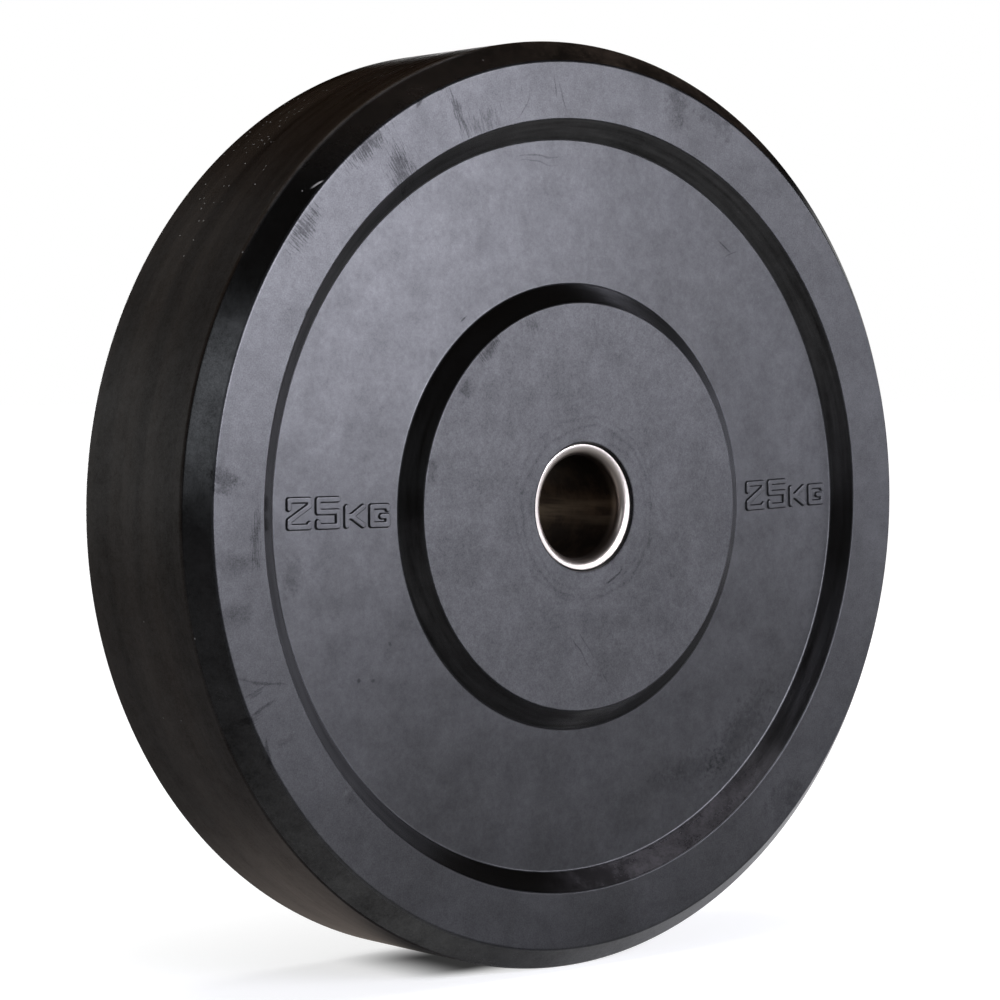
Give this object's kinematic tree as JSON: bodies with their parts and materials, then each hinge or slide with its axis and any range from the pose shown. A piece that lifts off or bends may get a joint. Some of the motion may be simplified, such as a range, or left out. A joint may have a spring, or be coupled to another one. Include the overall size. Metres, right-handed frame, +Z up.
{
  "type": "bumper plate",
  "caption": "Round black rubber weight plate with a raised hub, a recessed web, a chamfered rim and a steel-lined bore for a barbell sleeve.",
  "frame": {"origin": "centre of the plate: on the axis of the bore, midway between the two hub faces", "axes": "+Y along the bore from the front face to the back face, +Z up as the plate stands on its tread, +X to the right seen from the front"},
  "size_m": [0.45, 0.104, 0.45],
  "materials": {
    "moulded_rubber": "satin black moulded rubber, lightly scuffed and dusty from use",
    "turned_steel": "turned bright steel, ends and lead-in polished by use, bore darker",
    "anchor_steel": "plain mild steel plate, welded, moulded into the rubber and never seen"
  },
  "bodies": {
    "root": {"rubber_disc": "moulded_rubber", "hub_sleeve": "turned_steel", "anchor_flange_front": "anchor_steel", "anchor_flange_back": "anchor_steel"}
  },
  "joints": []
}
